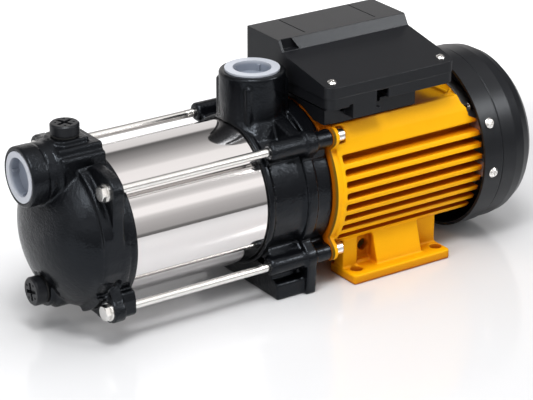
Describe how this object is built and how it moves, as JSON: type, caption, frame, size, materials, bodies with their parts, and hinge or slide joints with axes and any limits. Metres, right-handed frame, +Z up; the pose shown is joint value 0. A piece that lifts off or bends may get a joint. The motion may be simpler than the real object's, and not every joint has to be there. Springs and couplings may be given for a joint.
{
  "type": "horizontal multistage booster pump",
  "caption": "Close-coupled horizontal multistage water booster pump: black cast suction and discharge casings, polished barrel with tie bolts, finned yellow motor, terminal box and fan cover.",
  "frame": {"origin": "centre of the four motor foot holes on the base plane, under the shaft", "axes": "+X along the shaft from the suction end to the fan end, +Z up through the discharge port, -Y the side with the low edge of the terminal box lid"},
  "size_m": [0.4086, 0.1402, 0.1734],
  "materials": {
    "cast_black": "gloss black paint over rough casting",
    "frame_yellow": "satin yellow paint",
    "black_plastic": "satin, fine grain",
    "stainless_barrel": "mirror polished stainless steel",
    "plated_steel": "bright zinc plate",
    "stainless_sheet": "pressed stainless steel",
    "shaft_steel": "ground",
    "cap_plastic": "translucent white",
    "seal_rubber": "matt",
    "ceramic": "lapped",
    "carbon": "lapped",
    "core_steel": "laminated",
    "copper_winding": "varnished",
    "moulded_impeller": "moulded",
    "moulded_diffuser": "moulded",
    "cast_aluminium": "die-cast",
    "fan_plastic": "moulded",
    "capacitor_can": "moulded",
    "terminal_plastic": "moulded"
  },
  "bodies": {
    "pump": {"suction_casing": "cast_black", "discharge_casing": "cast_black", "pump_barrel": "stainless_barrel", "barrel_gasket_front": "seal_rubber", "barrel_gasket_rear": "seal_rubber", "tie_bolts": "plated_steel", "tie_bolt_washers": "plated_steel", "stage_bowl_1": "stainless_sheet", "stage_bowl_2": "stainless_sheet", "stage_bowl_3": "stainless_sheet", "stage_bowl_4": "stainless_sheet", "diffuser_1": "moulded_diffuser", "diffuser_2": "moulded_diffuser", "diffuser_3": "moulded_diffuser", "diffuser_4": "moulded_diffuser", "seal_seat": "ceramic", "front_bearing_outer": "shaft_steel", "rear_bearing_outer": "shaft_steel", "stator_core": "core_steel", "windings": "copper_winding", "motor_frame": "frame_yellow", "flange_screws": "plated_steel", "rear_shield": "cast_aluminium", "shield_screws": "plated_steel", "wave_spring": "shaft_steel", "fan_cover": "black_plastic", "fan_cover_screws": "plated_steel", "terminal_gasket": "seal_rubber", "terminal_box_base": "black_plastic", "base_screws": "plated_steel", "terminal_box_lid": "black_plastic", "lid_screws": "plated_steel", "capacitor": "capacitor_can", "terminal_block": "terminal_plastic", "cable_gland": "black_plastic", "gland_nut": "black_plastic", "gland_seal": "seal_rubber"},
    "rotor": {"shaft": "shaft_steel", "shaft_key": "shaft_steel", "impeller_1": "moulded_impeller", "impeller_2": "moulded_impeller", "impeller_3": "moulded_impeller", "impeller_4": "moulded_impeller", "impeller_spacers": "shaft_steel", "impeller_nut": "plated_steel", "seal_face": "carbon", "seal_spring": "shaft_steel", "front_bearing_inner": "shaft_steel", "rear_bearing_inner": "shaft_steel", "rotor_core": "core_steel", "cooling_fan": "fan_plastic", "fan_clip": "shaft_steel"},
    "front_ball_set": {"front_bearing_balls": "shaft_steel"},
    "rear_ball_set": {"rear_bearing_balls": "shaft_steel"},
    "suction_dust_cap": {"suction_port_cap": "cap_plastic"},
    "discharge_dust_cap": {"discharge_port_cap": "cap_plastic"},
    "priming_seal": {"priming_plug_seal": "seal_rubber"},
    "priming_screw": {"priming_plug": "black_plastic"},
    "drain_seal": {"drain_plug_seal": "seal_rubber"},
    "drain_screw": {"drain_plug": "black_plastic"}
  },
  "joints": [
    {"name": "rotor_spin", "type": "hinge", "parent": "pump", "child": "rotor", "pos_m": [0, 0, 0.071], "axis": [1, 0, 0], "continuous": true},
    {"name": "front_ball_orbit", "type": "hinge", "parent": "pump", "child": "front_ball_set", "pos_m": [-0.0625, 0, 0.071], "axis": [1, 0, 0], "continuous": true},
    {"name": "rear_ball_orbit", "type": "hinge", "parent": "pump", "child": "rear_ball_set", "pos_m": [0.0715, 0, 0.071], "axis": [1, 0, 0], "continuous": true},
    {"name": "suction_cap_pull", "type": "slide", "parent": "pump", "child": "suction_dust_cap", "axis": [-1, 0, 0], "range_m": [0, 0.06]},
    {"name": "discharge_cap_pull", "type": "slide", "parent": "pump", "child": "discharge_dust_cap", "axis": [0, 0, 1], "range_m": [0, 0.06]},
    {"name": "priming_plug_lift", "type": "slide", "parent": "pump", "child": "priming_seal", "axis": [0, 0, 1], "range_m": [0, 0.0125]},
    {"name": "priming_plug_turn", "type": "hinge", "parent": "priming_seal", "child": "priming_screw", "pos_m": [-0.248, 0, 0.142], "axis": [0, 0, 1], "range_deg": [0, 2160]},
    {"name": "drain_plug_lift", "type": "slide", "parent": "pump", "child": "drain_seal", "axis": [-1, 0, 0], "range_m": [0, 0.0125]},
    {"name": "drain_plug_turn", "type": "hinge", "parent": "drain_seal", "child": "drain_screw", "pos_m": [-0.27, 0, 0.0324], "axis": [-1, 0, 0], "range_deg": [0, 2160]}
  ],
  "couplings": [
    {"joint": "front_ball_orbit", "follows": "rotor_spin", "ratio": 0.4},
    {"joint": "rear_ball_orbit", "follows": "rotor_spin", "ratio": 0.4},
    {"joint": "priming_plug_lift", "follows": "priming_plug_turn", "m_per_rad": 0.00031831},
    {"joint": "drain_plug_lift", "follows": "drain_plug_turn", "m_per_rad": 0.00031831}
  ]
}
